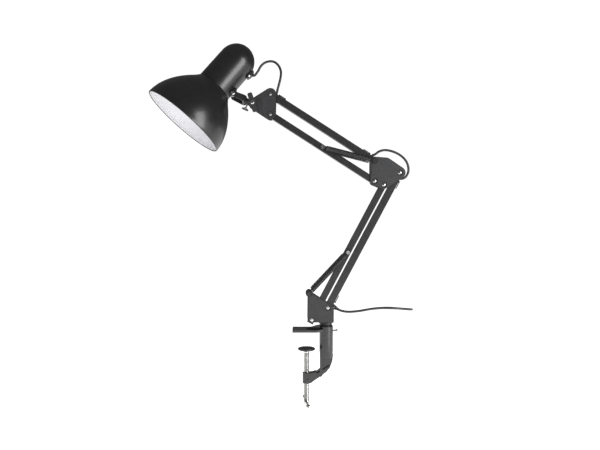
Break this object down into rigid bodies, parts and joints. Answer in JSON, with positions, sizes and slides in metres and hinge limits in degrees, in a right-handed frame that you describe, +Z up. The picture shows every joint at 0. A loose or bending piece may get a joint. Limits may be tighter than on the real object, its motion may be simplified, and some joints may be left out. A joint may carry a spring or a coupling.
{
  "type": "clamp-on architect desk lamp",
  "caption": "Desk lamp on a screw clamp: two parallelogram arms of square tube balanced by tension springs, and a round metal shade that tilts and turns.",
  "frame": {"origin": "on the clamp screw's axis, on the underside of the upper jaw, which rests on the desk top", "axes": "+Z up along the clamp screw and the swivel post; the arms lie in the XZ plane, with the elbow towards +X and the shade towards -X; +Y runs through the pivots"},
  "size_m": [0.5341, 0.2194, 0.7258],
  "materials": {
    "cast_black": "gloss black paint over a casting",
    "tube_black": "satin black powder coat",
    "shade_black": "smooth black enamel, white inside the bell",
    "bracket_black": "matte moulded charcoal",
    "pad_black": "satin black",
    "zinc": "bright zinc plate",
    "spring_black": "oiled black spring steel",
    "nylon": "natural nylon",
    "lead_black": "smooth black sheath",
    "moulding_black": "black moulding",
    "holder_white": "white thermoplastic",
    "brass": "bright brass"
  },
  "bodies": {
    "clamp": {"clamp_frame": "cast_black", "mains_lead": "lead_black", "mains_hank": "lead_black", "hank_strap": "moulding_black", "plug_body": "moulding_black", "plug_pins": "zinc", "cord_switch": "moulding_black"},
    "pad": {"clamp_pad": "pad_black"},
    "clamp_screw": {"clamp_screw": "zinc"},
    "tommy_bar": {"tommy_bar": "zinc"},
    "lock_screw": {"lock_screw": "zinc"},
    "rocker": {"switch_rocker": "moulding_black"},
    "swivel": {"swivel_post": "zinc", "thrust_washer": "tube_black", "base_plate_near": "bracket_black", "base_plate_far": "bracket_black", "base_web": "tube_black", "base_rivets": "zinc", "base_washers": "nylon", "base_spring_studs": "tube_black"},
    "lower_lead_arm": {"lower_lead_tube": "tube_black", "lower_lead": "lead_black"},
    "lower_plain_arm": {"lower_plain_tube": "tube_black", "lower_spring_pin": "zinc"},
    "lower_springs": {"lower_spring_near": "spring_black", "lower_spring_far": "spring_black"},
    "lower_hooks": {"lower_spring_hooks": "spring_black"},
    "elbow": {"elbow_plate_near": "bracket_black", "elbow_plate_far": "bracket_black", "elbow_rivets": "zinc", "elbow_bolt": "tube_black", "elbow_nuts": "tube_black", "elbow_washers": "nylon", "elbow_lead": "lead_black"},
    "upper_lead_arm": {"upper_lead_tube": "tube_black", "upper_lead": "lead_black"},
    "upper_plain_arm": {"upper_plain_tube": "tube_black", "upper_spring_pin": "zinc"},
    "upper_springs": {"upper_spring_near": "spring_black", "upper_spring_far": "spring_black"},
    "upper_hooks": {"upper_spring_hooks": "spring_black"},
    "head_bracket": {"head_plate_near": "bracket_black", "head_plate_far": "bracket_black", "head_rivets": "zinc", "head_washers": "nylon", "nose_bolt": "zinc"},
    "wing_knob": {"wing_knob": "bracket_black"},
    "tilt_block": {"tilt_block": "bracket_black"},
    "collar_screw": {"collar_screw": "zinc"},
    "yoke": {"yoke": "tube_black"},
    "shade": {"shade_lug": "tube_black", "hinge_bolt": "zinc", "shade_bell": "shade_black", "shade_cap": "shade_black", "lamp_holder": "holder_white", "holder_ring": "holder_white", "holder_contacts": "brass", "cord_grip": "moulding_black", "head_lead": "lead_black"}
  },
  "joints": [
    {"name": "clamp_travel", "type": "slide", "parent": "clamp", "child": "pad", "axis": [0, 0, 1], "range_m": [-0.043, 0.034]},
    {"name": "screw_turn", "type": "hinge", "parent": "pad", "child": "clamp_screw", "pos_m": [0, 0, -0.142], "axis": [0, 0, 1], "range_deg": [-10325, 8165]},
    {"name": "tommy_slide", "type": "slide", "parent": "clamp_screw", "child": "tommy_bar", "axis": [0.1045, -0.9945, 0], "range_m": [-0.02, 0.02]},
    {"name": "lock_turn", "type": "hinge", "parent": "clamp", "child": "lock_screw", "pos_m": [0.0394, 0, 0], "axis": [1, 0, 0], "range_deg": [-360, 0]},
    {"name": "base_swivel", "type": "hinge", "parent": "clamp", "child": "swivel", "pos_m": [0.0394, 0, 0], "axis": [0, 0, 1], "range_deg": [-120, 120], "deforming": ["mains_lead"]},
    {"name": "lower_arm", "type": "hinge", "parent": "swivel", "child": "lower_lead_arm", "pos_m": [0.0425, 0, 0.047], "axis": [0, 1, 0], "range_deg": [-45, 6], "deforming": ["lower_spring_near", "lower_spring_far", "lower_spring_hooks"]},
    {"name": "lower_side_arm", "type": "hinge", "parent": "swivel", "child": "lower_plain_arm", "pos_m": [0.0105, 0, 0.023], "axis": [0, 1, 0], "range_deg": [-45, 6]},
    {"name": "lower_spring_swing", "type": "hinge", "parent": "swivel", "child": "lower_springs", "pos_m": [0.005, 0, 0.0758], "axis": [0, 1, 0], "range_deg": [-67.2, 10.7]},
    {"name": "lower_spring_stretch", "type": "slide", "parent": "lower_springs", "child": "lower_hooks", "axis": [0.6865, 0, 0.7271], "range_m": [-0.0164, 0.0031]},
    {"name": "elbow_level", "type": "hinge", "parent": "lower_lead_arm", "child": "elbow", "pos_m": [0.18522, 0, 0.31542], "axis": [0, 1, 0], "range_deg": [-6, 45]},
    {"name": "upper_arm", "type": "hinge", "parent": "elbow", "child": "upper_lead_arm", "pos_m": [0.13502, 0, 0.33882], "axis": [0, 1, 0], "range_deg": [-38, 20], "deforming": ["upper_spring_near", "upper_spring_far", "upper_spring_hooks", "elbow_lead"]},
    {"name": "upper_side_arm", "type": "hinge", "parent": "elbow", "child": "upper_plain_arm", "pos_m": [0.13502, 0, 0.29882], "axis": [0, 1, 0], "range_deg": [-38, 20]},
    {"name": "upper_spring_swing", "type": "hinge", "parent": "elbow", "child": "upper_springs", "pos_m": [0.13502, 0, 0.33882], "axis": [0, 1, 0], "range_deg": [-41.7, 22.9]},
    {"name": "upper_spring_stretch", "type": "slide", "parent": "upper_springs", "child": "upper_hooks", "axis": [-0.9684, 0, 0.2494], "range_m": [-0.0143, 0.0262]},
    {"name": "head_level", "type": "hinge", "parent": "upper_lead_arm", "child": "head_bracket", "pos_m": [-0.07176, 0, 0.47208], "axis": [0, 1, 0], "range_deg": [-20, 38]},
    {"name": "head_tilt", "type": "hinge", "parent": "head_bracket", "child": "tilt_block", "pos_m": [-0.10676, 0, 0.45308], "axis": [0, 1, 0], "range_deg": [-60, 45]},
    {"name": "knob_turn", "type": "hinge", "parent": "head_bracket", "child": "wing_knob", "pos_m": [-0.10676, -0.015, 0.45308], "axis": [0, 1, 0], "range_deg": [-180, 180]},
    {"name": "collar_turn", "type": "hinge", "parent": "tilt_block", "child": "collar_screw", "pos_m": [-0.11628, 0, 0.45726], "axis": [-0.4019, 0, -0.9157], "range_deg": [-180, 180]},
    {"name": "yoke_turn", "type": "hinge", "parent": "tilt_block", "child": "yoke", "pos_m": [-0.10676, 0, 0.45308], "axis": [-0.9157, 0, 0.4019], "range_deg": [-59, 41]},
    {"name": "shade_tilt", "type": "hinge", "parent": "yoke", "child": "shade", "pos_m": [-0.14659, 0, 0.47056], "axis": [-0.0663, 0.9863, -0.1511], "range_deg": [-25, 25], "deforming": ["head_lead"]},
    {"name": "rocker_press", "type": "hinge", "parent": "clamp", "child": "rocker", "pos_m": [0.0418, 0.1158, -0.03], "axis": [1, 0, 0], "range_deg": [-14, 0]}
  ],
  "couplings": [
    {"joint": "screw_turn", "follows": "clamp_travel", "rad_per_m": 4188.8},
    {"joint": "lower_side_arm", "follows": "lower_arm", "ratio": 1},
    {"joint": "elbow_level", "follows": "lower_arm", "ratio": -1},
    {"joint": "lower_spring_swing", "follows": "lower_arm", "ratio": 1.448},
    {"joint": "lower_spring_stretch", "follows": "lower_arm", "m_per_rad": 0.019595},
    {"joint": "upper_side_arm", "follows": "upper_arm", "ratio": 1},
    {"joint": "head_level", "follows": "upper_arm", "ratio": -1},
    {"joint": "upper_spring_swing", "follows": "upper_arm", "ratio": 1.045},
    {"joint": "upper_spring_stretch", "follows": "upper_arm", "m_per_rad": -0.038044}
  ]
}
